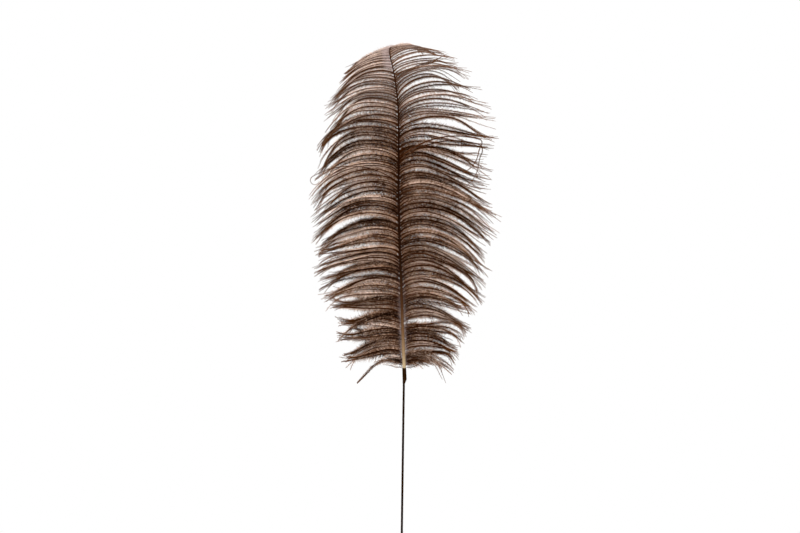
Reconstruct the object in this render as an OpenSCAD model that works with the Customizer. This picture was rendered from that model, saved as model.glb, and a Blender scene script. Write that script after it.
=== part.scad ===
// Feather duster: one ostrich plume bound to a slim tape-wrapped wire stem.
// Millimetres, +Z up, origin on the stem's axis at its cut lower end.
// The face of the plume looks towards -Y and its tip curls over towards +Y.

/* [Stem] */
// Length of the wrapped stem, from its cut end up to the binding
stem_length = 337; // [200:1:450]
// Diameter of the steel wire that runs through the stem
wire_d = 1.2; // [0.8:0.1:1.8]
// Thickness of the paper tape wound on the wire
stem_tape_wall = 0.4; // [0.2:0.05:0.8]
// How far the bare wire reaches up inside the hollow quill
wire_insert = 28; // [15:1:34]

/* [Binding] */
// Length of the binding where it grips the quill
binding_grip = 12.5; // [8:0.5:20]
// Length of the taper from the quill's cut end down to the stem
binding_taper = 4.5; // [3:0.5:8]
// Thickness of the binding tape on the quill
binding_wall = 0.3; // [0.2:0.05:0.6]

/* [Quill and shaft] */
// Outside diameter of the hollow quill
quill_d = 4; // [3.4:0.1:5]
// Wall of the hollow quill
quill_wall = 0.5; // [0.3:0.05:0.8]
// Depth of the hollow, from the quill's cut end to the solid shaft
quill_hollow = 38; // [36:1:60]
// Sideways step from the wire's axis to the quill's axis
quill_step = 0.8; // [0.4:0.05:1]
// Lean of the quill away from the wire's line, in degrees
quill_lean = 3; // [0:0.5:3]
// Length of the glue that holds the wire in the quill
glue_length = 20; // [8:1:26]
// Length of the shaft along its curve, from the top of the binding to its tip
shaft_length = 397; // [280:1:480]
// Width of the shaft where the hollow quill ends
shaft_w = 3.9; // [3:0.1:4.8]
// Width of the shaft at its tip
shaft_tip_w = 0.8; // [0.5:0.1:1.4]
// Share of the shaft's length that curls over backwards at its tip
curl_share = 0.232; // [0.16:0.002:0.3]
// How far that curl turns, in degrees
curl_turn = 98; // [60:1:110]

/* [Plume] */
// Reach of the longest barbs to the right of the shaft
right_reach = 108; // [70:1:140]
// Reach of the longest barbs to the left of the shaft
left_reach = 90; // [60:1:120]
// Diameter of one barb with its fluff pressed flat
barb_d = 0.9; // [0.6:0.05:1]
// Locks of barbs on each side of the shaft
locks = 22; // [16:1:22]
// Barbs in each lock
lock_barbs = 8; // [4:1:8]
// Turn of each barb towards the middle of its lock, in degrees
lock_gather = 0.5; // [0:0.05:0.6]
// Shortening of the outermost barbs of a lock, as a share of their length
lock_point = 0.2; // [0:0.01:0.4]
// How far the locks swing forwards and backwards about their mean, in degrees
lock_swing = 15; // [0:1:20]
// Mean sweep of the barbs backwards, in degrees
back_sweep = 9; // [0:1:15]
// Gap between the root of a barb and the shaft
seat_gap = 0.2; // [0.1:0.05:0.4]

/* [Hidden] */
$fn = 48;
digits = [for (i = [1:locks]) str(i < 10 ? "0" : "", i)];

left = -1;
right = 1;
stem_d = wire_d + 2 * stem_tape_wall;
quill_bottom = stem_length + binding_taper;
binding_top = quill_bottom + binding_grip;
quill_bore_d = quill_d - 2 * quill_wall;
hollow_top = quill_bottom + quill_hollow;
quill_cap = 3;                       // solid end of the quill above its hollow
wire_room = (quill_bore_d - wire_d) / 2 - 0.1;    // how far off the quill's axis the wire may lie
step_side = min(quill_step, wire_room);
wire_reach = min(wire_insert, (wire_room + step_side) / tan(quill_lean));
shaft_overlap = 2;                   // how far the shaft is rooted in that end
shaft_start = hollow_top + quill_cap - shaft_overlap - binding_top;
foot_step = 1.5;                     // between the roots of the barbs at the foot
foot_barbs = 5;
foot_reach = 46;                     // mean reach of those barbs: the left ones are longer
foot_uneven = 4;
foot_turn = 62;
tip_fan = 3;                         // barbs on each side of the shaft's end
tip_radius = 70;
tip_turn = 38;
fan_swing = 1.5;                     // neighbouring barbs stand this far before and behind, in degrees
stray_r = 0.35;
straight_length = shaft_length * (1 - curl_share);
curl_radius = shaft_length * curl_share / curl_turn * 180 / PI;
vane_start = (foot_barbs + 3) * foot_step;   // first full lock, above the binding
lock_span = (shaft_length - vane_start) / locks;
barb_r = barb_d / 2;
shaft_sides = 12;
shaft_rings = 72;
strand_sides = 8;
taper_collar = 0.3;                  // tape wall where the taper meets the stem
end_bead = 0.3;                      // how much fatter the tape is over the quill's cut end

// Sideways drift of the shaft from the top of the binding, at shares of its length: it starts along
// the quill, and runs past both ends so that the smoothing has something to average there
quill_drift = 0.1 * shaft_length * tan(quill_lean);
drift = [
    [-0.1, quill_drift], [0.1, -quill_drift], [0.22, -4.2], [0.38, -7.6], [0.5, -8.9], [0.7, -9.8],
    [0.76, -11.6], [0.86, -18.5], [0.92, -25], [0.95, -20], [1, -4], [1.1, 16]
];

// Barbs by share of shaft length: [share of reach, rise at the root, droop at the end], in degrees
right_barbs = [
    [0, 0.52, 14, 46], [0.06, 0.6, 18, 50], [0.14, 0.7, 24, 52], [0.24, 0.82, 31, 50],
    [0.36, 0.92, 37, 47], [0.46, 0.98, 41, 44], [0.54, 1, 43, 40], [0.66, 0.97, 44, 28],
    [0.74, 0.92, 42, 24], [0.82, 0.8, 36, 27], [0.9, 0.66, 28, 34], [0.95, 0.54, 22, 38], [1, 0.42, 16, 38]
];
left_barbs = [
    [0, 0.64, 10, 38], [0.06, 0.76, 13, 42], [0.14, 0.86, 17, 47], [0.24, 0.94, 20, 51],
    [0.36, 0.98, 21, 54], [0.46, 1, 22, 56], [0.54, 0.98, 22, 57], [0.66, 0.9, 21, 57],
    [0.74, 0.84, 18, 57], [0.82, 0.74, 14, 55], [0.9, 0.64, 8, 50], [0.95, 0.58, 2, 45], [1, 0.5, -4, 40]
];

function column(table, c) = [for (row = table) [row[0], row[c]]];
function barb_table(side) = side == right ? right_barbs : left_barbs;
function reach_at(side, u) =
    (side == right ? right_reach : left_reach) * lookup(u, column(barb_table(side), 1));
function rise_at(side, u) = lookup(u, column(barb_table(side), 2));
function droop_at(side, u) = lookup(u, column(barb_table(side), 3));

// Scatter between -1 and 1 that repeats on every build
function scatter(n) = sin(137.508 * n + 40 * sin(71 * n));

// The shaft's centre line at a length along it, its sideways slope, its backward lean and its width
function drift_at(s) =
    let (u = s / shaft_length, d = 0.05)
    (lookup(u - d, drift) + 2 * lookup(u, drift) + lookup(u + d, drift)) / 4;
function slope_at(s) = (drift_at(s + 3) - drift_at(s - 1)) / 4;
function lean_at(s) = max(0, s - straight_length) / curl_radius * 180 / PI;
function shaft_x(s) = step_side - binding_grip * tan(quill_lean) + drift_at(s);
function shaft_y(s) = curl_radius * (1 - cos(lean_at(s)));
function shaft_z(s) = binding_top + min(s, straight_length) + curl_radius * sin(lean_at(s));
function shaft_point(s) = [shaft_x(s), shaft_y(s), shaft_z(s)];
function shaft_w_at(s) =
    s < shaft_start ? quill_d
    : shaft_tip_w + (shaft_w - shaft_tip_w) * pow(1 - (s - shaft_start) / (shaft_length - shaft_start), 0.8);
function root_w_at(s) = s < shaft_start + shaft_overlap + 1 ? max(quill_d, shaft_w_at(s)) : shaft_w_at(s);

// Faces of a closed tube whose rings of points follow each other
function tube_faces(rings, sides) = concat(
    [[for (j = [0:sides - 1]) j]],
    [for (k = [0:rings - 2], j = [0:sides - 1])
        let (a = k * sides, b = a + sides, n = (j + 1) % sides)
        [a + j, b + j, b + n, a + n]],
    [[for (j = [sides - 1:-1:0]) (rings - 1) * sides + j]]
);

// An arc from the origin in the XZ plane, heading from one angle above +X to another
function bend_end(radius, from, to) =
    sign(from - to) * radius * [sin(from) - sin(to), 0, cos(to) - cos(from)];
module bend(radius, from, to, r) {
    over = from > to;
    centre = radius * (over ? [sin(from), 0, -cos(from)] : [-sin(from), 0, cos(from)]);
    translate(centre)
        rotate([90, 0, 0])
            rotate([0, 0, over ? 90 + to : from - 90])
                rotate_extrude(angle = abs(from - to))
                    translate([radius, 0]) circle(r);
}

// A tube through a run of arcs joined end to end, each given as [radius, turn]: its rings are
// [x, z, heading], a few degrees apart
function arc_rings(arcs, x, z, heading, i = 0) =
    let (
        radius = arcs[i][0],
        turn = arcs[i][1],
        steps = ceil(abs(turn) / 6),
        rings = [
            for (k = [0:steps])
                let (to = heading + turn * k / steps, end = bend_end(radius, heading, to))
                [x + end[0], z + end[2], to]
        ],
        last = rings[steps]
    )
    i == len(arcs) - 1 ? rings
    : concat([for (k = [0:steps - 1]) rings[k]], arc_rings(arcs, last[0], last[1], last[2], i + 1));

module strand(arcs, heading, r) {
    rings = arc_rings(arcs, 0, 0, heading);
    points = [
        for (ring = rings, j = [0:strand_sides - 1])
            let (a = 360 * j / strand_sides)
            [ring[0] - r * cos(a) * sin(ring[2]), r * sin(a), ring[1] + r * cos(a) * cos(ring[2])]
    ];
    polyhedron(points, tube_faces(len(rings), strand_sides), convexity = 6);
}

// Puts its child on the side of the shaft, heading out. On the curl the barbs hang: they lean half as
// far as the shaft and swing less and less.
module on_shaft(side, s, rise, swing) {
    off = root_w_at(s) / 2 + barb_r * (sin(rise) + 1.5 * max(0, side * slope_at(s))) + seat_gap;
    translate(shaft_point(s))
        rotate([-lean_at(s) / 2, 0, 0])
            mirror([side == left ? 1 : 0, 0, 0])
                translate([off, 0, 0])
                    rotate([0, 0, swing * max(0, cos(1.5 * lean_at(s)))])
                        children();
}

module stem_wire() {
    color("silver")
        cylinder(d = wire_d, h = quill_bottom + wire_reach);
}

module stem_tape() {
    color([0.16, 0.1, 0.07])
        difference() {
            cylinder(d = stem_d, h = stem_length);
            translate([0, 0, -1]) cylinder(d = wire_d, h = stem_length + 2);
        }
}

// Along the quill's axis, which starts beside the wire's and leans across it
module on_quill(up = 0) {
    translate([step_side, 0, quill_bottom]) rotate([0, -quill_lean, 0]) translate([0, 0, up]) children();
}

module binding_tape() {
    outer_d = quill_d + 2 * binding_wall;
    color([0.2, 0.13, 0.09])
        difference() {
            union() {
                hull() {
                    translate([0, 0, stem_length]) cylinder(d = stem_d + 2 * taper_collar, h = 0.4, $fn = 32);
                    on_quill(-0.3) cylinder(d = outer_d + end_bead, h = 0.6, $fn = 32);
                }
                on_quill(0) cylinder(d = outer_d, h = binding_grip);
            }
            on_quill(0) cylinder(d = quill_d, h = binding_grip + 1);
            translate([0, 0, stem_length - 1]) cylinder(d = wire_d, h = binding_taper + 3);
        }
}

module quill_glue() {
    color([0.85, 0.78, 0.6])
        difference() {
            on_quill(0) cylinder(d = quill_bore_d, h = glue_length);
            translate([0, 0, quill_bottom - 1]) cylinder(d = wire_d, h = glue_length + 3);
        }
}

module quill() {
    difference() {
        on_quill(0) cylinder(d = quill_d, h = quill_hollow + quill_cap);
        on_quill(-1) cylinder(d = quill_bore_d, h = quill_hollow + 1);
    }
}

// Solid shaft swept along the centre line, a little flatter than it is wide
module rachis() {
    step = (shaft_length - shaft_start) / (shaft_rings - 1);
    flat = 0.85;
    points = [
        for (k = [0:shaft_rings - 1])
            let (s = shaft_start + k * step, r = shaft_w_at(s) / 2, lean = lean_at(s))
            for (j = [0:shaft_sides - 1])
                let (a = 360 * j / shaft_sides, back = r * flat * sin(a))
                shaft_point(s) + [r * cos(a), back * cos(lean), -back * sin(lean)]
    ];
    polyhedron(points, tube_faces(shaft_rings, shaft_sides), convexity = 4);
}

module quill_shaft() {
    color([0.45, 0.33, 0.22]) {
        quill();
        rachis();
    }
}

// One lock: barbs that leave the shaft side by side and close up towards the lock's point
module lock(side, i) {
    mid = (lock_barbs - 1) / 2;
    s_mid = vane_start + (i + 0.5) * lock_span;
    u_mid = s_mid / shaft_length;
    rise = rise_at(side, u_mid);
    turn = rise + droop_at(side, u_mid);
    reach = reach_at(side, u_mid) * (1 + 0.05 * scatter(i + 9 * side));
    radius = reach / (sin(rise) - sin(rise - turn));
    swing = back_sweep + lock_swing * scatter(i * 1.7 + 3 * side);
    gather = lock_gather * cos(lean_at(s_mid));
    color([0.3 + 0.04 * scatter(i), 0.2, 0.15])
        for (j = [0:lock_barbs - 1]) {
            s = vane_start + (i + (j + 0.5) / lock_barbs) * lock_span;
            start = rise - gather * (j - mid);
            length = turn * (1 - lock_point * pow(abs(j - mid) / mid, 1.5));
            fan = j % 2 == 0 ? fan_swing : -fan_swing;
            on_shaft(side, s, start, swing + fan)
                bend(radius, start, start - length, barb_r);
        }
}

// Short soft barbs around the foot of the vane
module base_down(side) {
    color([0.42, 0.32, 0.26])
        for (j = [0:foot_barbs - 1]) {
            start = 4 + 3 * j;
            reach = foot_reach - side * foot_uneven + 5 * scatter(j + side);
            on_shaft(side, (j + 3) * foot_step, start, 28 - 14 * j)
                bend(reach / 1.1, start, start - foot_turn, barb_r);
        }
}

// Fan of barbs that closes the vane at the end of the shaft
module tip_barbs() {
    color([0.38, 0.27, 0.2])
        translate(shaft_point(shaft_length))
            rotate([-lean_at(shaft_length) / 2, 0, 0])
                for (side = [left, right], j = [0:tip_fan - 1]) {
                    start = (side == right ? 26 : 6) + 9 * j;
                    mirror([side == left ? 1 : 0, 0, 0])
                        translate([1.1 - 0.2 * j, j % 2 == 0 ? -0.6 : 0.6, 0.6 + 0.9 * j])
                            bend(tip_radius - 4 * j, start, start - tip_turn, barb_r);
                }
}

// A single barb rooted between two locks, with its own run of arcs
module stray(side, below_lock, swing, arcs) {
    s = vane_start + below_lock * lock_span;
    rise = rise_at(side, s / shaft_length);
    on_shaft(side, s, rise, swing) strand(arcs, rise, stray_r);
}

// Single barbs that have sprung out of the locks
module stray_barbs() {
    color([0.34, 0.22, 0.16]) {
        stray(left, 11, -12, [[62, -72], [5, -210]]);      // small loop at the left edge
        stray(right, 14, -12, [[82, -66], [30, -80]]);     // hook at the upper right edge
        on_shaft(left, foot_step, 2, -16)                  // pointed wisp below the left foot
            strand([[34, -42], [60, 6]], 2, stray_r);
        on_shaft(right, foot_step, 4, -20)                 // loose ends below the right foot
            strand([[30, -52], [50, 14]], 4, stray_r);
        on_shaft(right, 2 * foot_step, 10, -14)
            strand([[40, -66]], 10, stray_r);
    }
}

stem_wire();
stem_tape();
binding_tape();
quill_glue();
quill_shaft();
for (i = [0:locks - 1]) {
    lock(left, i);
    lock(right, i);
}
base_down(left);  // left_base_down
base_down(right);  // right_base_down
tip_barbs();
stray_barbs();
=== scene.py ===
import math
import bpy
import numpy as np
from mathutils import Matrix, Vector


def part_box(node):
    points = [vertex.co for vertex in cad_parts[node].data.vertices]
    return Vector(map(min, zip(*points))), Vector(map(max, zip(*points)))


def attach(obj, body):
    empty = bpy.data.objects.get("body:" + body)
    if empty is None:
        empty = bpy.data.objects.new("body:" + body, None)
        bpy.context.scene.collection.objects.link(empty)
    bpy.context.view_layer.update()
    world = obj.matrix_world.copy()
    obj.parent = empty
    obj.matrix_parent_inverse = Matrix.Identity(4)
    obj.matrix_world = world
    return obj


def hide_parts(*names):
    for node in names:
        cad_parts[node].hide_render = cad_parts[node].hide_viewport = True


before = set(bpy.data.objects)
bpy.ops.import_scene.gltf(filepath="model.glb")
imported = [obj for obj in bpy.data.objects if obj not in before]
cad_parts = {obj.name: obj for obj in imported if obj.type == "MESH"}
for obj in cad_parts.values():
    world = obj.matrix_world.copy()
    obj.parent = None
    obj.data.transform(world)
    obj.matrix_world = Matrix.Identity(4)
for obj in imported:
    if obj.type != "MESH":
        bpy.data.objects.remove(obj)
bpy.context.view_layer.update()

mm = 0.001
left = -1
right = 1


class Wire:
    # wraps one output socket, so that shader maths reads as arithmetic
    def __init__(self, sheet, socket):
        self.sheet = sheet
        self.socket = socket

    def calc(self, operation, *values):
        return self.sheet.node("ShaderNodeMath", {"operation": operation}, list(values))

    def __add__(self, other):
        return self.calc("ADD", self, other)

    def __radd__(self, other):
        return self.calc("ADD", other, self)

    def __sub__(self, other):
        return self.calc("SUBTRACT", self, other)

    def __rsub__(self, other):
        return self.calc("SUBTRACT", other, self)

    def __mul__(self, other):
        return self.calc("MULTIPLY", self, other)

    def __rmul__(self, other):
        return self.calc("MULTIPLY", other, self)

    def __truediv__(self, other):
        return self.calc("DIVIDE", self, other)

    def __rtruediv__(self, other):
        return self.calc("DIVIDE", other, self)


class Sheet:
    # one material's node tree
    def __init__(self, name):
        self.material = bpy.data.materials.new(name)
        self.material.use_nodes = True
        self.tree = self.material.node_tree
        self.shader = self.tree.nodes["Principled BSDF"]

    def node(self, kind, settings=None, values=None, output=0):
        made = self.tree.nodes.new(kind)
        for key, value in (settings or {}).items():
            if key == "stops":
                self.setStops(made.color_ramp, value)
            else:
                setattr(made, key, value)
        items = values.items() if isinstance(values, dict) else enumerate(values or [])
        for key, value in items:
            self.feed(made.inputs[key], value)
        return Wire(self, made.outputs[output])

    def setStops(self, ramp, stops):
        while len(ramp.elements) < len(stops):
            ramp.elements.new(1.0)
        for element, (place, colour) in zip(ramp.elements, stops):
            element.position = place
            element.color = (*colour, 1.0)

    def feed(self, socket, value):
        if isinstance(value, Wire):
            self.tree.links.new(value.socket, socket)
        elif isinstance(value, tuple) and len(value) == 3 and socket.type == "RGBA":
            socket.default_value = (*value, 1.0)
        else:
            socket.default_value = value

    def set(self, **values):
        for key, value in values.items():
            self.feed(self.shader.inputs[key.replace("_", " ")], value)

    def ramp(self, value, stops):
        return self.node("ShaderNodeValToRGB", {"stops": stops}, [value])

    def greyRamp(self, value, stops):
        return self.ramp(value, [(place, (level,) * 3) for place, level in stops])

    def mix(self, share, a, b):
        # the colour sockets of a Mix node are its sixth and seventh
        return self.node("ShaderNodeMix", {"data_type": "RGBA"}, {0: share, 6: a, 7: b}, output=2)

    def noise(self, vector, scale, detail=2.0):
        return self.node("ShaderNodeTexNoise", None, {"Vector": vector, "Scale": scale, "Detail": detail})

    def stretched(self, vector, factors):
        return self.node("ShaderNodeVectorMath", {"operation": "MULTIPLY"}, [vector, factors])

    def between(self, value, low, high):
        # 0 below low, 1 above high, smooth on the way
        settings = {"interpolation_type": "SMOOTHSTEP"}
        return self.node("ShaderNodeMapRange", settings, {"Value": value, "From Min": low, "From Max": high})

    def places(self):
        # object coordinates
        return self.node("ShaderNodeTexCoord", output=3)

    def parts(self, vector):
        split = self.node("ShaderNodeSeparateXYZ", None, [vector]).socket.node
        return [Wire(self, out) for out in split.outputs]

    def bump(self, height, distance, strength):
        values = {"Height": height, "Distance": distance, "Strength": strength}
        self.feed(self.shader.inputs["Normal"], self.node("ShaderNodeBump", None, values))


def makeMesh(name, points, faces, uvs=None, smooth=True):
    # points (n, 3); faces: index arrays (k, 3) or (k, 4); uvs: one array (k, corners, 2) for each of them
    mesh = bpy.data.meshes.new(name)
    mesh.vertices.add(len(points))
    mesh.vertices.foreach_set("co", np.asarray(points, np.float32).ravel())
    corners = np.concatenate([f.ravel() for f in faces])
    sizes = np.concatenate([np.full(len(f), f.shape[1]) for f in faces])
    mesh.loops.add(len(corners))
    mesh.loops.foreach_set("vertex_index", corners.astype(np.int32))
    mesh.polygons.add(len(sizes))
    starts = np.concatenate([[0], np.cumsum(sizes)[:-1]])
    mesh.polygons.foreach_set("loop_start", starts.astype(np.int32))
    mesh.polygons.foreach_set("loop_total", sizes.astype(np.int32))
    mesh.polygons.foreach_set("use_smooth", np.full(len(sizes), smooth))
    if uvs is not None:
        layer = mesh.uv_layers.new(name="OFBake")
        layer.data.foreach_set("uv", np.concatenate([u.reshape(-1) for u in uvs]).astype(np.float32))
    mesh.update(calc_edges=True)
    mesh.validate()
    piece = bpy.data.objects.new(name, mesh)
    bpy.context.scene.collection.objects.link(piece)
    return piece


def closedTube(name, rings):
    # rings (count, sides, 3) from the foot to the top; a fan closes each end
    count, sides, _ = rings.shape
    index = np.arange(count * sides).reshape(count, sides)
    turned = np.roll(index, -1, 1)
    walls = np.stack([index[:-1], turned[:-1], turned[1:], index[1:]], -1).reshape(-1, 4)
    ends = np.stack([rings[0].mean(0), rings[-1].mean(0)])
    total = count * sides
    foot = np.stack([turned[0], index[0], np.full(sides, total)], -1)
    top = np.stack([index[-1], turned[-1], np.full(sides, total + 1)], -1)
    return makeMesh(name, np.concatenate([rings.reshape(-1, 3), ends]), [walls, foot, top])


def place(piece, material, slot, node):
    piece.data.materials.append(material)
    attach(piece, "root")
    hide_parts(node)


def unit(v):
    return v / np.maximum(np.linalg.norm(v, axis=-1, keepdims=True), 1e-9)


def sideName(side):
    return "left" if side == left else "right"


# the shaft's line is the same as the part's own
shaft = {
    "length": 397 * mm,
    "curlShare": 0.232,
    "curlTurn": math.radians(98),
    "quillStep": 0.8 * mm,
    "quillLean": math.radians(3),
    "grip": 12.5 * mm,
    "quillWidth": 3.6 * mm,
    "width": 3.5 * mm,
    "tipWidth": 0.8 * mm,
    "taperPower": 0.8,
    "quillEnd": 28.5 * mm,
    # sideways drift in mm, at shares of the length
    "driftAt": [-0.1, 0.1, 0.22, 0.38, 0.5, 0.7, 0.76, 0.86, 0.92, 0.95, 1, 1.1],
    "drift": [2.08, -2.08, -4.2, -7.6, -8.9, -9.8, -11.6, -18.5, -25, -20, -4, 16],
    "driftBlur": 0.05,
    # surface
    "rings": 220,
    "sides": 24,
    "grooveAt": [0, 40 * mm, 80 * mm],
    "groove": [0, 0.08, 0.2],
    "grooveSpread": 1.6,            # in sides
    "flatAt": [0, 60 * mm],
    "flat": [1.0, 0.88],
    "rootDepth": 0.8,               # barbs start at this share of the half width
}
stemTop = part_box("stem_tape")[1].z
bindingTop = 354 * mm
straight = shaft["length"] * (1 - shaft["curlShare"])
curlRadius = shaft["length"] * shaft["curlShare"] / shaft["curlTurn"]


def driftAt(s):
    u = s / shaft["length"]
    blur = ((0.25, -shaft["driftBlur"]), (0.5, 0), (0.25, shaft["driftBlur"]))
    return sum(w * np.interp(u + d, shaft["driftAt"], shaft["drift"]) for w, d in blur) * mm


def leanAt(s):
    return np.maximum(0, s - straight) / curlRadius


def shaftPoint(s):
    s = np.asarray(s, float)
    lean = leanAt(s)
    x = shaft["quillStep"] - shaft["grip"] * math.tan(shaft["quillLean"]) + driftAt(s)
    y = curlRadius * (1 - np.cos(lean))
    z = bindingTop + np.minimum(s, straight) + curlRadius * np.sin(lean)
    return np.stack([x, y, z], -1)


def shaftWidth(s):
    s = np.asarray(s, float)
    run = np.clip((s - shaft["quillEnd"]) / (shaft["length"] - shaft["quillEnd"]), 0, 1)
    tapered = shaft["tipWidth"] + (shaft["width"] - shaft["tipWidth"]) * (1 - run) ** shaft["taperPower"]
    return np.where(s < shaft["quillEnd"], shaft["quillWidth"], tapered)


plume = {
    "rightReach": 108 * mm,
    "leftReach": 90 * mm,
    "leftSeed": 6,
    "rightSeed": 13,
    "locks": 22,
    "lockStart": 12 * mm,
    "barbsPerLock": 20,
    "points": 24,
    "rootHook": math.radians(30),       # barbs stand up steeply at the shaft
    "rootHookLength": 5 * mm,
    "radiusAt": [0, 0.08, 0.25, 1],     # barb radius in mm, at shares of its length
    "radius": [0.3, 0.35, 0.45, 0.26],
    "strandSizes": (2, 7),              # barbs that cling together
    "tuftSizes": (8, 26),
    "strandPull": 0.6,                  # spacing inside a strand, against the even spacing
    "thickness": (0.75, 1.1),           # least and greatest share for one barb
    "fluffLength": (0.8, 1.15),
    "fluffDensity": (0.85, 1.1),
    "looseAt": [0, 0.25, 0.4, 1],       # the foot of the plume is more ruffled
    "loose": [2.6, 1.6, 1, 1.1],
    "tuftedLength": 120 * mm,           # up to here the tufts cling more
    "softAt": [0, 0.2, 0.45, 0.6, 0.8],     # fluff length, at shares of the locks
    "leftSoft": [1.35, 1.1, 1, 0.95, 0.55],
    "rightSoft": [0.95, 0.9, 1, 0.7, 0.3],
    "paleLocks": 18,                    # left locks above this one have pale roots
}
lockSpan = (shaft["length"] - plume["lockStart"]) / plume["locks"]
fluff = {
    "spacing": 0.45 * mm,
    "length": 6.2 * mm,
    "width": 0.5 * mm,
    "thick": 0.04 * mm,
    "spread": (0.95, 0.2),      # angle to the barb, and its own spread
    "lean": -0.65,
    "roll": 0.2,
    "behind": 0.7 * mm,         # fluff starts at the back of its barb
    "underShare": 0.5,          # this share lies in a longer layer further back
    "underLength": 1.45,
    "underLean": -0.85,
    "lengthSpread": (0.4, 1.4),
    "lengthAt": [0, 0.05, 0.15, 0.5, 0.8, 0.92, 1],
    "lengthShare": [0.85, 1, 1, 0.85, 0.4, 0.22, 0.12],
    "widthAt": [0, 0.8, 1],
    "widthShare": [1, 0.9, 0.6],
}

# share of the shaft, share of the reach, then the heading in degrees at the root, at a third,
# at two thirds and at the end
rightBarbs = np.array([
    [0, 0.5, 8, -6, -26, -50], [0.08, 0.62, 14, -2, -26, -54], [0.19, 0.76, 28, -6, -34, -44],
    [0.3, 0.85, 24, -12, -36, -52], [0.41, 0.94, 28, -12, -34, -44], [0.52, 1.06, 26, -14, -26, -28],
    [0.6, 1.07, 28, -14, -10, -4], [0.67, 1, 38, 2, -12, -8], [0.74, 0.89, 46, 16, -12, -28],
    [0.78, 0.8, 46, 18, -12, -38], [0.83, 0.69, 32, 14, -2, -20], [0.86, 0.58, 34, 18, -6, -20],
    [0.89, 0.48, 34, 16, -6, -28], [0.92, 0.4, 28, 8, -14, -28], [0.95, 0.33, 18, -4, -22, -30],
    [1, 0.2, 8, -16, -38, -50],
])
leftBarbs = np.array([
    [0, 0.7, 4, -18, -30, -34], [0.03, 0.77, 6, -16, -30, -34], [0.08, 0.8, 10, -10, -24, -30],
    [0.13, 0.84, 14, -4, -14, -6], [0.19, 0.96, 16, -6, -16, -14], [0.27, 1.04, 20, -8, -18, -26],
    [0.34, 1.05, 22, -8, -22, -40], [0.41, 1.07, 24, -8, -28, -50], [0.52, 1.07, 26, -6, -32, -56],
    [0.63, 1, 20, 0, -36, -66], [0.74, 0.86, 14, -2, -42, -62], [0.82, 0.7, 8, -10, -40, -56],
    [0.87, 0.58, -4, -20, -40, -52], [0.91, 0.51, -14, -26, -38, -48], [0.94, 0.49, -24, -32, -40, -46],
    [0.97, 0.53, -34, -38, -42, -47], [1, 0.56, -40, -40, -42, -48],
])


def barbTable(side, s):
    table = rightBarbs if side == right else leftBarbs
    u = np.asarray(s) / shaft["length"]
    columns = [np.interp(u, table[:, 0], table[:, c]) for c in range(1, table.shape[1])]
    return columns[0] * plume[sideName(side) + "Reach"], np.radians(np.stack(columns[1:], 1))


def barbLines(side, s, reach, headings, swing, curl, wave, late=0.0):
    # one line of points for each barb, from the shaft outwards; late turns only its outer part
    count = plume["points"]
    t = np.linspace(0, 1, count)
    mid = (t[1:] + t[:-1]) / 2
    knots = np.linspace(0, 1, headings.shape[1])
    base = np.stack([np.interp(mid, knots, row) for row in headings])
    length = reach / np.cos(base).mean(1)
    travelled = mid[None, :] * length[:, None]
    hook = plume["rootHook"] * np.clip(np.cos(1.2 * leanAt(s)), 0, 1)[:, None]
    heading = base + hook * np.exp(-travelled / plume["rootHookLength"])
    outer = np.clip((mid - 0.3) / 0.7, 0, 1) ** 1.5
    size, start, turns = wave[:, :1], wave[:, 1:2], wave[:, 2:3]
    heading = heading + size * (0.5 + outer) * np.sin(start + mid[None, :] * turns)
    heading = heading + (late + np.zeros(len(s)))[:, None] * outer[None, :]
    yaw = swing[:, None] + curl[:, None] * mid[None, :]
    step = (length / (count - 1))[:, None]
    run = np.stack([np.cos(heading) * np.cos(yaw), np.cos(heading) * np.sin(yaw), np.sin(heading)], -1)
    lines = np.concatenate([np.zeros((len(s), 1, 3)), np.cumsum(run * step[..., None], 1)], 1)
    lines[..., 0] += (shaftWidth(s) / 2)[:, None] * shaft["rootDepth"]
    lines[..., 0] *= side
    # barbs lean half as far back as the shaft does
    tilt = leanAt(s)[:, None] / 2
    y = lines[..., 1] * np.cos(tilt) + lines[..., 2] * np.sin(tilt)
    z = lines[..., 2] * np.cos(tilt) - lines[..., 1] * np.sin(tilt)
    lines[..., 1] = y
    lines[..., 2] = z
    return lines + shaftPoint(s)[:, None, :]


def cuts(total, sizes):
    # runs of neighbouring barbs, each of a random size
    edges = [0]
    while edges[-1] < total:
        edges.append(min(total, edges[-1] + int(rng.integers(sizes[0], sizes[1] + 1))))
    return [slice(a, b) for a, b in zip(edges, edges[1:])]


def shared(runs, spread):
    # one random value for each run
    return np.concatenate([np.full(run.stop - run.start, rng.normal(0, spread)) for run in runs])


def gather(lines, runs, low, high, ats, weights):
    # draws each run towards its mean line, by a weight that varies along the lines
    profile = np.interp(np.linspace(0, 1, lines.shape[1]), ats, weights)
    for run in runs:
        near = lines[run]
        weight = (rng.uniform(low, high, len(near))[:, None] * profile[None, :])[..., None]
        lines[run] = near * (1 - weight) + near.mean(0, keepdims=True) * weight
    return lines


def gatherTuft(lines, cling, endCling):
    return gather(lines, [slice(0, len(lines))], cling * 0.8, cling, [0, 0.3, 0.8, 1], [0, 1, 1, endCling])


def looseWave(count, size, turns):
    # random size, start and turns of the wave along each barb
    return np.stack([rng.normal(0, size, count), rng.uniform(0, 6.28, count), rng.uniform(*turns, count)], 1)


def trim(lines, keep):
    # cuts each line back to a share of its length, with the same count of points
    count = lines.shape[1]
    at = np.linspace(0, 1, count)[None, :] * keep[:, None] * (count - 1)
    low = np.minimum(at.astype(int), count - 2)
    share = (at - low)[..., None]
    rows = np.arange(len(lines))[:, None]
    return lines[rows, low] * (1 - share) + lines[rows, low + 1] * share


def frames(lines):
    along = unit(np.gradient(lines, axis=1))
    across = unit(np.cross(along, np.array([0.0, 1.0, 0.0])))
    return along, across, np.cross(along, across)


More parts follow.
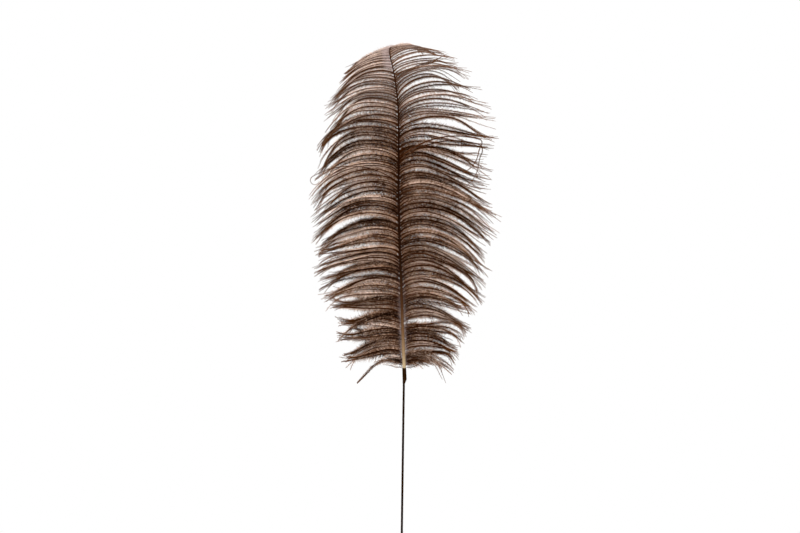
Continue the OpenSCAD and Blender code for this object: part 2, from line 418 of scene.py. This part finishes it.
def tubes(lines, radius):
    # three-sided tapered tubes, closed at both ends; each has its own row in the UV square
    n, m, _ = lines.shape
    along, across, face = frames(lines)
    angles = np.arange(3) * 2 * math.pi / 3
    ring = (np.cos(angles)[None, None, :, None] * across[:, :, None, :]
            + np.sin(angles)[None, None, :, None] * face[:, :, None, :])
    points = lines[:, :, None, :] + ring * radius[:, :, None, None]
    index = np.arange(n * m * 3).reshape(n, m, 3)
    turned = np.roll(index, -1, 2)
    quads = np.stack([index[:, :-1], turned[:, :-1], turned[:, 1:], index[:, 1:]], -1)
    row = (np.arange(n)[:, None, None] + 0.2 + 0.2 * np.arange(3)[None, None, :]) / n
    row = np.broadcast_to(row, (n, m - 1, 3))
    u0 = np.broadcast_to((np.arange(m - 1) / (m - 1))[None, :, None], (n, m - 1, 3))
    u1 = u0 + 1 / (m - 1)
    v1 = row + 0.2 / n
    uv = np.stack([np.stack([u0, row], -1), np.stack([u0, v1], -1),
                   np.stack([u1, v1], -1), np.stack([u1, row], -1)], -2)
    caps = np.concatenate([index[:, 0, ::-1], index[:, -1]])
    capRow = np.tile((np.arange(n) + 0.5) / n, 2)
    capU = np.concatenate([np.full(n, 0.005), np.full(n, 0.995)])
    spread = np.array([[0, 0], [0.004, 0], [0, 0.3]])
    capUv = np.stack([capU[:, None] + spread[None, :, 0] * np.where(capU > 0.5, -1, 1)[:, None],
                      capRow[:, None] + spread[None, :, 1] / n], -1)
    return points.reshape(-1, 3), quads.reshape(-1, 4), caps, uv.reshape(-1, 4, 2), capUv


def spikes(lines, keepLength, density):
    # flat closed spikes of fluff along both edges of each barb
    n, m, _ = lines.shape
    lengths = np.linalg.norm(np.diff(lines, axis=1), axis=2).sum(1)
    along, across, face = frames(lines)
    which, where = [], []
    for i in range(n):
        count = 2 * int(lengths[i] / fluff["spacing"] * density[i])
        which.append(np.full(count, i))
        where.append((np.arange(count) + rng.uniform(0, 1, count)) / count)
    which = np.concatenate(which)
    where = np.concatenate(where)
    total = len(which)
    edge = rng.choice([-1.0, 1.0], total)
    at = where * (m - 1)
    low = np.minimum(at.astype(int), m - 2)
    share = (at - low)[:, None]
    a = unit(along[which, low] * (1 - share) + along[which, low + 1] * share)
    b = across[which, low]
    c = face[which, low]
    root = lines[which, low] * (1 - share) + lines[which, low + 1] * share - c * fluff["behind"]
    under = rng.uniform(0, 1, total) < fluff["underShare"]
    roll = rng.normal(0, fluff["roll"], total) + np.where(under, fluff["underLean"], fluff["lean"])
    out = edge[:, None] * b * np.cos(roll)[:, None] + c * np.sin(roll)[:, None]
    spread = rng.normal(*fluff["spread"], total)
    way = a * np.cos(spread)[:, None] + out * np.sin(spread)[:, None]
    long = fluff["length"] * keepLength[which] * rng.uniform(*fluff["lengthSpread"], total)
    long *= np.interp(where, fluff["lengthAt"], fluff["lengthShare"])
    long *= np.where(under, fluff["underLength"], 1)
    half = fluff["width"] / 2 * np.interp(where, fluff["widthAt"], fluff["widthShare"])[:, None]
    points = np.stack([root - a * half, root + a * half, root + c * fluff["thick"],
                       root + way * long[:, None]], 1)
    base = (np.arange(total) * 4)[:, None]
    sides = np.array([[0, 1, 3], [1, 2, 3], [2, 0, 3], [0, 2, 1]])
    faces = np.concatenate([base + side for side in sides])
    u = np.tile(np.clip(where, 0.01, 0.98), 4)
    v = np.where(np.tile(under, 4), 0.75, 0.5) + (np.tile(which, 4) + 0.1) / n / 4
    uv = np.stack([np.stack([u, v], -1), np.stack([u + 0.01, v], -1),
                   np.stack([u + 0.005, v + 0.2 / n], -1)], 1)
    return points.reshape(-1, 3), faces, uv


def makeBarbs(name, lines, thick, fluffLength, fluffDensity):
    # the lower half of the UV square holds the barbs, the third quarter their fluff
    # and the last quarter the layer behind
    t = np.linspace(0, 1, lines.shape[1])
    radius = np.interp(t, plume["radiusAt"], plume["radius"])[None, :] * mm
    points, quads, caps, uvQuads, uvCaps = tubes(lines, radius * thick[:, None])
    lowerHalf = np.array([1, 0.5])
    finePoints, fineFaces, uvFine = spikes(lines, fluffLength, fluffDensity)
    return makeMesh(name, np.concatenate([points, finePoints]), [quads, caps, fineFaces + len(points)],
                    [uvQuads * lowerHalf, uvCaps * lowerHalf, uvFine], smooth=False)


# how the barbs of one side differ: the mean, then the spreads of a tuft, of a strand and of one barb
vane = {
    "swing": (9, 8, 1.2, 0.4),          # degrees back
    "curl": (8, 5, 1.5, 0.6),           # degrees more at the end
    "reach": (1.03, 0.02, 0.03, 0),
    "waveSize": (0, 0, 0.08, 0),        # radians
    "waveStart": (0, 0, 3, 0),
    "waveTurns": (6, 0, 1.5, 0),
    # radians, at the root, at a third, at two thirds and at the end
    "bend": [(0, 0, 0.012, 0.01), (0, 0.02, 0.01, 0), (0, 0.05, 0.02, 0), (0, 0.1, 0.05, 0)],
    "late": (0, 0, 0.15, 0.15),
    # least and greatest weight, then places along the barb and the share of the weight there
    "strandGather": (0.5, 0.95, [0, 0.08, 0.6, 1], [0, 1, 1, 0.4]),
    "lowTuftGather": (0.4, 0.7, [0, 0.3, 0.75, 1], [0, 0.2, 1, 0.6]),
    "tuftGather": (0.05, 0.3, [0, 0.5, 0.8, 1], [0, 0, 1, 0.6]),
    "worn": 0.07,                       # greatest share lost at any barb's end
    "broken": 0.22,                     # and at the few that are broken
    "brokenPower": 4,
}


def vaneLines(side):
    # every full barb of one side; some cling together in strands, and strands in tufts
    count = plume["locks"] * plume["barbsPerLock"]
    s = (np.arange(count) + rng.uniform(0.3, 0.7, count)) / count
    s = plume["lockStart"] + s * (shaft["length"] - plume["lockStart"])
    strands = cuts(count, plume["strandSizes"])
    tufts = cuts(count, plume["tuftSizes"])
    for run in strands:
        s[run] = s[run].mean() + plume["strandPull"] * (s[run] - s[run].mean())
    reach, headings = barbTable(side, s)
    calm = np.clip(np.cos(1.5 * leanAt(s)), 0, 1)
    loose = np.interp(s / shaft["length"], plume["looseAt"], plume["loose"])

    def varied(mean, tuftSpread, strandSpread, ownSpread):
        # a spread of 0 draws nothing
        total = mean
        if tuftSpread:
            total = total + shared(tufts, tuftSpread)
        if strandSpread:
            total = total + shared(strands, strandSpread)
        if ownSpread:
            total = total + rng.normal(0, ownSpread, count)
        return total

    swing = varied(*vane["swing"])
    curl = np.radians(varied(*vane["curl"]))
    reach = reach * varied(*vane["reach"])
    wave = np.stack([varied(*vane["waveSize"]) * loose, np.abs(varied(*vane["waveStart"])),
                     varied(*vane["waveTurns"])], 1)
    headings = headings + np.stack([varied(*spreads) for spreads in vane["bend"]], 1) * loose[:, None]
    late = varied(*vane["late"]) * loose
    lines = barbLines(side, s, reach, headings, np.radians(swing) * calm, curl, wave, late)
    lines = gather(lines, strands, *vane["strandGather"])
    lowTufts = [run for run in tufts if s[run.start] < plume["tuftedLength"]]
    lines = gather(lines, lowTufts, *vane["lowTuftGather"])
    lines = gather(lines, tufts, *vane["tuftGather"])
    worn = vane["worn"] * rng.uniform(0, 1, count)
    broken = vane["broken"] * rng.uniform(0, 1, count) ** vane["brokenPower"]
    return trim(lines, 1 - worn - broken)


barbLook = {
    "bodyDark": (0.009, 0.0016, 0.0003),
    "bodyWarm": (0.044, 0.012, 0.0024),
    # painted light: the colour the barbs' ends turn to, as if lit through from behind
    "bodyEndLitThrough": (0.15, 0.058, 0.02),
    "bodyTop": (0.3, 0.16, 0.09),
    # fluff colours from deep to pale; the pale end is partly the fluff's own pale tone, partly a painted
    # sheen highlight
    "fluffStops": [(0.025, 0.007, 0.0018), (0.356, 0.2, 0.122), (0.87, 0.67, 0.555)],
    # painted shade: the layer behind takes darker copies of the fluff colours
    "shadedUnderStops": [(0.022, 0.0065, 0.0018), (0.272, 0.148, 0.088), (0.685, 0.5, 0.397)],
    "fluffTop": (0.56, 0.45, 0.4),
    "root": (0.4, 0.31, 0.29),
    "roughness": 0.7,
}


def barbMaterial(name, tint=1.0, paleRoot=None):
    sheet = Sheet(name)
    along, row, _ = sheet.parts(sheet.node("ShaderNodeUVMap", {"uv_map": "OFBake"}))
    spot = sheet.places()
    patch = sheet.noise(spot, 45.0)
    speck = sheet.noise(spot, 700.0, 3.0)

    def perBarb(rows):
        step = sheet.node("ShaderNodeMath", {"operation": "FLOOR"}, [row * rows])
        return sheet.node("ShaderNodeTexWhiteNoise", {"noise_dimensions": "1D"}, {"W": step})

    def above(value):
        return sheet.node("ShaderNodeMath", {"operation": "GREATER_THAN"}, [row, value])

    def tinted(colour):
        return tuple(c * tint for c in colour)

    def fluffRamp(value, colours):
        return sheet.ramp(value, [(at, tinted(colour)) for at, colour in zip((0.0, 0.5, 1.0), colours)])

    own = perBarb(40.0)
    mood = patch * 0.45 + own * 0.4 + perBarb(10.0) * 0.35
    height = (sheet.parts(spot)[2] - bindingTop) / shaft["length"]
    faded = sheet.between(height, 0.6, 0.88)     # the top of the plume is paler
    # the barbs themselves
    warm = sheet.between(mood, 0.45, 0.85)
    body = sheet.mix(warm, tinted(barbLook["bodyDark"]), tinted(barbLook["bodyWarm"]))
    # painted light: the barbs' outer ends turn lighter and redder, as light shining through thin fibres
    body = sheet.mix(sheet.between(along, 0.6, 1.0) * 0.7, body, barbLook["bodyEndLitThrough"])
    body = sheet.mix(faded * 0.2, body, barbLook["bodyTop"])
    # painted light: their fluff is shaded darker near the shaft and lit paler further out along the barb
    paintedShaftShade = sheet.greyRamp(along, [(0.0, 0.5), (0.08, 0.65), (0.25, 0.9), (0.6, 1.0)])
    light = sheet.between(mood + (speck - 0.5) * 0.8, 0.42, 0.85) * paintedShaftShade
    # painted highlight: the pale end of the fluff colours is partly the fluff's own pale tone, partly a
    # painted sheen on it
    fine = fluffRamp(light, barbLook["fluffStops"])
    # painted shade: the fluff layer behind is darker, as if shaded by the front layer
    behind = fluffRamp(light, barbLook["shadedUnderStops"])
    fluffTone = sheet.mix(faded * 0.45, sheet.mix(above(0.75), fine, behind), barbLook["fluffTop"])
    colour = sheet.mix(above(0.5), body, fluffTone)
    # pale lilac roots
    if paleRoot:
        pale = 0.9
        atRoot = sheet.greyRamp(along, [(0.0, 1.0), (paleRoot * 0.7, 1.0), (paleRoot, 0.0)])
    else:
        pale = sheet.greyRamp(height, [(0.0, 0.9), (0.12, 0.7), (0.22, 0.1), (0.3, 0.0)])
        atRoot = sheet.greyRamp(along / (own * 1.6 + 0.4), [(0.0, 1.0), (0.02, 0.75), (0.045, 0.0)])
    colour = sheet.mix(atRoot * pale * (speck + 0.3), colour, barbLook["root"])
    sheet.set(Base_Color=colour, Roughness=barbLook["roughness"], Specular_IOR_Level=0.0)
    return sheet.material


brownBarbs = barbMaterial("brownBarbs")
softDown = barbMaterial("softDown", 0.85)
paleRooted = barbMaterial("paleRootedBarbs", 1.2, 0.15)
tipBarbs = barbMaterial("tipBarbs", 1.7)

# tufts that cross their neighbours: lock counted from 0, count, headings in degrees, reach in mm,
# swing in degrees, cling
crossTufts = {
    left: [(1, 6, (8, -10, 6, 30), 66, 14, 0.8), (3, 9, (12, -8, 14, 20), 82, 16, 0.7),
           (2, 5, (8, -14, -30, -50), 74, 6, 0.6), (5, 6, (20, 0, -30, -12), 90, 16, 0.7)],
    right: [(1, 5, (10, -4, -30, -34), 58, 16, 0.8), (3, 6, (26, 4, -20, -8), 76, 14, 0.7),
            (12, 7, (34, 2, -24, -36), 108, 16, 0.8), (17, 7, (22, 26, 20, 26), 60, 14, 0.85)],
}


crossSpread = {
    "span": (0.3, 0.8),         # where in its lock a tuft starts
    "bend": 2,
    "wave": (0.08, (4, 8)),
    "reach": (0.8, 1.05),
    "swing": 1.5,
    "curl": (2, 2),
}


def crossLines(side, number):
    parts = []
    for lock, count, degrees, reach, swing, cling in crossTufts[side]:
        if lock != number:
            continue
        low = plume["lockStart"] + number * lockSpan
        first, last = crossSpread["span"]
        s = rng.uniform(low + first * lockSpan, low + last * lockSpan, count)
        headings = np.radians(np.array([degrees] * count) + rng.normal(0, crossSpread["bend"], (count, 4)))
        wave = looseWave(count, *crossSpread["wave"])
        lengths = reach * rng.uniform(*crossSpread["reach"], count) * mm
        yaw = np.radians(swing + rng.normal(0, crossSpread["swing"], count))
        curl = np.radians(rng.normal(*crossSpread["curl"], count))
        parts.append(gatherTuft(barbLines(side, s, lengths, headings, yaw, curl, wave), cling, 0.3))
    return parts


for side in (left, right):
    rng = np.random.default_rng(plume[sideName(side) + "Seed"])
    barbs = vaneLines(side)
    for number in range(plume["locks"]):
        first = number * plume["barbsPerLock"]
        lines = np.concatenate([barbs[first:first + plume["barbsPerLock"]]] + crossLines(side, number))
        count = len(lines)
        soft = np.interp(number / plume["locks"], plume["softAt"], plume[sideName(side) + "Soft"])
        piece = makeBarbs(f"{sideName(side)}Lock{number + 1:02d}", lines,
                          rng.uniform(*plume["thickness"], count),
                          soft * rng.uniform(*plume["fluffLength"], count),
                          rng.uniform(*plume["fluffDensity"], count))
        high = side == left and number >= plume["paleLocks"]
        place(piece, paleRooted if high else brownBarbs, "barbs", f"{sideName(side)}_lock_{number + 1:02d}")
print("locks done")


# loose clusters under the plume: count, headings in degrees, least and greatest reach in mm, cling, fluff
footClusters = {
    left: [(7, (4, -10, -44, -46), 50, 57, 0.96, 0.4), (4, (10, 0, -14, -24), 22, 34, 0.3, 1),
           (5, (4, -14, 0, 20), 10, 20, 0.5, 1)],
    right: [(5, (24, 8, -30, -56), 38, 47, 0.45, 1), (5, (8, -4, -16, -30), 26, 38, 0.4, 1),
            (4, (16, -10, -30, -40), 12, 22, 0.3, 1), (7, (14, 4, -26, -46), 50, 57, 0.6, 0.8)],
}


footSpread = {
    "span": (1.5, 12),          # mm up the shaft
    "bend": 5,
    "wave": (0.12, (4, 9)),
    "swing": (-20, 20),
    "curl": 8,
    "thickness": (0.7, 1.0),
    "fluffLength": (0.9, 1.3),
    "fluffDensity": (0.9, 1.2),
}


def footLines(side):
    parts = []
    soft = []
    for count, degrees, least, most, cling, fluffShare in footClusters[side]:
        s = rng.uniform(*footSpread["span"], count) * mm
        headings = np.radians(np.array([degrees] * count) + rng.normal(0, footSpread["bend"], (count, 4)))
        wave = looseWave(count, *footSpread["wave"])
        swing = np.radians(rng.uniform(*footSpread["swing"], count))
        reach = rng.uniform(least, most, count) * mm
        curl = np.radians(rng.normal(0, footSpread["curl"], count))
        parts.append(gatherTuft(barbLines(side, s, reach, headings, swing, curl, wave), cling, 1))
        soft.append(np.full(count, fluffShare))
    return np.concatenate(parts), np.concatenate(soft)


for side in (left, right):
    lines, soft = footLines(side)
    count = len(lines)
    piece = makeBarbs(f"{sideName(side)}FootDown", lines, rng.uniform(*footSpread["thickness"], count),
                      soft * rng.uniform(*footSpread["fluffLength"], count),
                      soft * rng.uniform(*footSpread["fluffDensity"], count))
    place(piece, softDown, "down", f"{sideName(side)}_base_down")
print("foot down done")


# the barbs at the shaft's end: reach in mm, then the headings at the root and at the end in degrees
tip = {
    "count": 14,
    "span": 12,                 # mm down from the shaft's end
    "wave": (0.05, (4, 9)),
    "swing": 8,
    "curl": 8,
    "reach": {left: (34, 52), right: (10, 26)},
    "leftStart": (-44, -38),
    "rightStart": (20, 0),
    "finish": {left: (-52, -44), right: (-50, -34)},
    "thick": 0.8,
    "fluffLength": 0.5,
    "fluffDensity": 0.8,
}


def tipLines():
    # to the left they hang straight off the shaft's end, to the right they fall softly
    halves = []
    count = tip["count"]
    for side in (left, right):
        s = shaft["length"] - np.linspace(tip["span"], 0, count) * mm
        reach = rng.uniform(*tip["reach"][side], count) * mm
        even = np.linspace(*tip["rightStart"], count)
        start = rng.uniform(*tip["leftStart"], count) if side == left else even
        finish = rng.uniform(*tip["finish"][side], count)
        headings = np.radians(np.stack([start, (start + finish) / 2, finish], 1))
        wave = looseWave(count, *tip["wave"])
        swing = np.radians(rng.normal(0, tip["swing"], count))
        curl = np.radians(rng.normal(0, tip["curl"], count))
        halves.append(barbLines(side, s, reach, headings, swing, curl, wave))
    return np.concatenate(halves)


def sameForAll(lines, value):
    return np.full(len(lines), value)


lines = tipLines()
piece = makeBarbs("tipFan", lines, sameForAll(lines, tip["thick"]), sameForAll(lines, tip["fluffLength"]),
                  sameForAll(lines, tip["fluffDensity"]))
place(piece, tipBarbs, "barbs", "tip_barbs")
print("tip done")


# single stray barbs: side, place on the shaft, swing and rise in degrees, thickness, then arcs that
# are joined end to end, each as radius in mm and turn in degrees
strays = [
    (left, plume["lockStart"] + 11 * lockSpan, 0, 37, 1.3, [(84, -68), (5, -230)]),
    (right, plume["lockStart"] + 12.5 * lockSpan, -3, 43, 2, [(93, -58), (4, -104), (30, 20), (28, -60)]),
    (right, plume["lockStart"] + 12.3 * lockSpan, -3.5, 42, 1.7, [(91, -58), (7, -100), (34, 22), (32, -50)]),
    (left, 1 * mm, -8, -8, 0.9, [(26, 26), (30, -20)]),
    (right, 0.8 * mm, -8, -8, 0.9, [(19, 43), (20, -30)]),
    (right, 6 * mm, 4, 14, 1, [(55, -30), (10, -48), (400, 2)]),
    (right, 8 * mm, 6, 14, 1, [(60, -30), (12, -54), (500, 2)]),
]
strayLook = {"points": 60, "fluffLength": 0.5, "fluffDensity": 0.6}


def arcLine(side, s, swing, rise, arcs):
    heading = [math.radians(rise)]
    step = [0.0]
    for radius, turn in arcs:
        parts = max(4, int(abs(turn) / 5))
        for _ in range(parts):
            heading.append(heading[-1] + math.radians(turn) / parts)
            step.append(abs(math.radians(turn)) * radius * mm / parts)
    heading = np.array(heading)
    step = np.array(step)
    mid = (heading[1:] + heading[:-1]) / 2
    yaw = math.radians(swing)
    run = np.stack([np.cos(mid) * math.cos(yaw), np.cos(mid) * math.sin(yaw), np.sin(mid)], -1)
    line = np.concatenate([np.zeros((1, 3)), np.cumsum(run * step[1:, None], 0)])
    line[:, 0] += float(shaftWidth(s)) / 2 * shaft["rootDepth"]
    line[:, 0] *= side
    line += shaftPoint(s)
    travelled = np.cumsum(step)
    even = np.linspace(0, travelled[-1], strayLook["points"])
    return np.stack([np.interp(even, travelled, line[:, c]) for c in range(3)], -1)


lines = np.stack([arcLine(side, s, swing, rise, arcs) for side, s, swing, rise, _, arcs in strays])
piece = makeBarbs("strayBarbs", lines, np.array([stray[4] for stray in strays]),
                  sameForAll(lines, strayLook["fluffLength"]), sameForAll(lines, strayLook["fluffDensity"]))
place(piece, brownBarbs, "barbs", "stray_barbs")
print("strays done")


# tone of the shaft, at shares of its length
shaftTones = [
    (0.0, (0.42, 0.32, 0.19)), (0.04, (0.25, 0.165, 0.088)), (0.1, (0.12, 0.062, 0.028)),
    (0.17, (0.05, 0.02, 0.008)), (0.27, (0.014, 0.0045, 0.0015)), (0.6, (0.01, 0.0025, 0.0008)),
    (1.0, (0.035, 0.012, 0.004)),
]


def shaftMaterial():
    sheet = Sheet("plumeShaft")
    spot = sheet.places()
    grain = sheet.noise(spot, 900.0, 3.0)
    height = (sheet.parts(spot)[2] - bindingTop) / shaft["length"] + (grain - 0.5) * 0.03
    sheet.set(Base_Color=sheet.ramp(height, shaftTones), Roughness=0.6, Specular_IOR_Level=0.01)
    sheet.bump(grain, 0.05 * mm, 0.4)
    return sheet.material


def makeShaft():
    sides = shaft["sides"]
    s = np.linspace(-shaft["grip"] + 0.2 * mm, shaft["length"], shaft["rings"])
    centre = shaftPoint(np.maximum(s, 0))
    # inside the binding the quill runs on along its lean
    below = np.minimum(s, 0)
    centre[:, 2] += below
    centre[:, 0] -= below * math.tan(shaft["quillLean"])
    r = shaftWidth(s) / 2
    r[-1] *= 0.4
    lean = leanAt(s)
    side = np.arange(sides)
    a = side * 2 * math.pi / sides
    # the -Y face carries a shallow groove
    groove = np.exp(-((side - sides * 0.75) / shaft["grooveSpread"]) ** 2)
    depth = np.interp(s, shaft["grooveAt"], shaft["groove"])
    dent = 1 - groove[None, :] * depth[:, None]
    flat = np.interp(s, shaft["flatAt"], shaft["flat"])
    x = r[:, None] * np.cos(a)[None, :] * dent
    back = r[:, None] * np.sin(a)[None, :] * dent * flat[:, None]
    return closedTube("plumeShaft", np.stack([
        centre[:, None, 0] + x, centre[:, None, 1] + back * np.cos(lean)[:, None],
        centre[:, None, 2] - back * np.sin(lean)[:, None]], -1))


place(makeShaft(), shaftMaterial(), "quill_horn", "quill_shaft")
print("shaft done")


stem = {
    "radius": 1.25 * mm,
    "ringStep": 0.45 * mm,
    "sides": 20,
    "pitch": 7.5 * mm,          # height of one turn of the tape
    "lap": 0.09 * mm,
    "wrinkle": 0.015 * mm,
    "dark": (0.0045, 0.0016, 0.0006),
    "light": (0.02, 0.008, 0.003),
    "roughness": 0.7,
}
binding = {
    "quillFoot": 341.5 * mm,
    "radii": [1.42 * mm, 2.3 * mm, 2.35 * mm, 2.25 * mm],
    "ringStep": 0.2 * mm,
    "sides": 32,
    "pitch": 3.2 * mm,
    "lap": 0.16 * mm,
    "wrinkle": 0.02 * mm,
    "dark": (0.006, 0.0022, 0.0006),
    "light": (0.035, 0.014, 0.004),
    "roughness": 0.55,
}


def tapeMaterial(name, tape):
    # crepe paper: fine creases across the strip
    sheet = Sheet(name)
    spot = sheet.places()
    crepe = sheet.noise(sheet.stretched(spot, (1.0, 1.0, 3.5)), 1400.0, 4.0)
    patch = sheet.noise(spot, 160.0)
    tone = sheet.mix(sheet.between(crepe * 0.6 + patch * 0.4, 0.35, 0.7), tape["dark"], tape["light"])
    sheet.set(Base_Color=tone, Roughness=tape["roughness"] + crepe * 0.25, Specular_IOR_Level=0.0)
    sheet.bump(crepe, 0.06 * mm, 0.6)
    return sheet.material


def woundTube(name, tape, low, high, centre, radius):
    # a tube whose surface carries the lapped edge of a wound strip
    heights = np.linspace(low, high, int((high - low) / tape["ringStep"]) + 1)
    a = np.arange(tape["sides"]) * 2 * math.pi / tape["sides"]
    turn = heights[:, None] / tape["pitch"] - a[None, :] / (2 * math.pi)
    edge = turn - np.floor(turn)
    r = radius(heights)[:, None] - tape["lap"] * edge
    swell = tape["wrinkle"] * np.sin(a[None, :] * 5 + heights[:, None] * 2100)
    r = r + swell * np.sin(heights[:, None] * 3700)
    x = centre(heights)[:, None] + r * np.cos(a)[None, :]
    z = np.broadcast_to(heights[:, None], x.shape)
    return closedTube(name, np.stack([x, r * np.sin(a)[None, :], z], -1))


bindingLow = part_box("binding_tape")[0].z
quillFoot = binding["quillFoot"]


def bindingRadius(z):
    heights = [bindingLow, quillFoot - 0.4 * mm, quillFoot + 0.6 * mm, bindingTop]
    return np.interp(z, heights, binding["radii"])


def bindingCentre(z):
    over = np.clip((z - bindingLow) / (quillFoot - bindingLow), 0, 1) * shaft["quillStep"]
    return over - np.maximum(0, z - quillFoot) * math.tan(shaft["quillLean"])


# the stem's tape runs a little way under the binding
stemTape = woundTube("stemTape", stem, 0, stemTop + 0.1 * mm,
                     lambda z: z * 0, lambda z: z * 0 + stem["radius"])
place(stemTape, tapeMaterial("stemPaperTape", stem), "stem_paper_tape", "stem_tape")
bindingTape = woundTube("bindingTape", binding, bindingLow, bindingTop, bindingCentre, bindingRadius)
place(bindingTape, tapeMaterial("bindingPaperTape", binding), "binding_paper_tape", "binding_tape")


def wireMaterial():
    sheet = Sheet("drawnWire")
    lines = sheet.noise(sheet.stretched(sheet.places(), (1.0, 1.0, 0.02)), 6000.0)
    tone = sheet.mix(lines, (0.42, 0.42, 0.43), (0.62, 0.62, 0.63))
    sheet.set(Base_Color=tone, Metallic=1.0, Roughness=0.25 + lines * 0.2)
    return sheet.material


def glueMaterial():
    sheet = Sheet("setGlue")
    cloud = sheet.noise(sheet.places(), 700.0, 3.0)
    tone = sheet.mix(cloud, (0.6, 0.42, 0.18), (0.78, 0.62, 0.36))
    sheet.set(Base_Color=tone, Roughness=0.2 + cloud * 0.15)
    sheet.bump(cloud, 0.05 * mm, 0.3)
    return sheet.material


# the wire and the glue keep the part's own meshes
for node, material in (("stem_wire", wireMaterial()), ("quill_glue", glueMaterial())):
    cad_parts[node].data.materials.clear()
    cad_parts[node].data.materials.append(material)
print("stem done")


studio = {
    "floorRadius": 1.4,
    "floorDrop": 2 * mm,
    "distance": 3.0,
    "frameWidth": 0.88,
    "sensor": 36.0,
    "roll": math.radians(0.79),
    "target": (-6.0 * mm, 0.0, 465.6 * mm),
    "key": ((-0.6, -1.1, 2.3), 0.9, 40),        # place, size and power
    "fill": ((1.6, -1.2, 0.9), 1.6, 6),
}


def makeFloor():
    bpy.ops.mesh.primitive_circle_add(vertices=128, radius=studio["floorRadius"], fill_type="NGON",
                                      location=(0, 0, -studio["floorDrop"]))
    floor = bpy.context.object
    floor.name = "paleFloor"
    sheet = Sheet("paleFloor")
    grain = sheet.noise(sheet.places(), 30.0)
    sheet.set(Base_Color=sheet.mix(grain, (0.86, 0.86, 0.86), (0.9, 0.9, 0.9)), Roughness=0.8)
    floor.data.materials.append(sheet.material)


def makeLight(name, spot, size, power):
    data = bpy.data.lights.new(name, "AREA")
    data.shape = "DISK"
    data.size = size
    data.energy = power
    light = bpy.data.objects.new(name, data)
    bpy.context.scene.collection.objects.link(light)
    light.location = spot
    light.rotation_euler = (Vector(studio["target"]) - Vector(spot)).to_track_quat("-Z", "Y").to_euler()


def makeCamera():
    data = bpy.data.cameras.new("camera")
    data.sensor_width = studio["sensor"]
    data.lens = data.sensor_width * studio["distance"] / studio["frameWidth"]
    camera = bpy.data.objects.new("camera", data)
    bpy.context.scene.collection.objects.link(camera)
    c = math.cos(studio["roll"])
    s = math.sin(studio["roll"])
    turn = Matrix(((c, -s, 0, 0), (0, 0, -1, 0), (s, c, 0, 0), (0, 0, 0, 1)))
    spot = Vector(studio["target"]) + Vector((0, -studio["distance"], 0))
    camera.matrix_world = Matrix.Translation(spot) @ turn
    bpy.context.scene.camera = camera


def makeWorld():
    world = bpy.data.worlds.new("world")
    bpy.context.scene.world = world
    world.use_nodes = True
    background = world.node_tree.nodes["Background"]
    background.inputs["Color"].default_value = (1, 1, 1, 1)
    background.inputs["Strength"].default_value = 1.0
    bpy.context.scene.view_settings.view_transform = "Standard"


makeFloor()
makeLight("keyLight", *studio["key"])
makeLight("fillLight", *studio["fill"])
makeCamera()
makeWorld()
print("studio done")
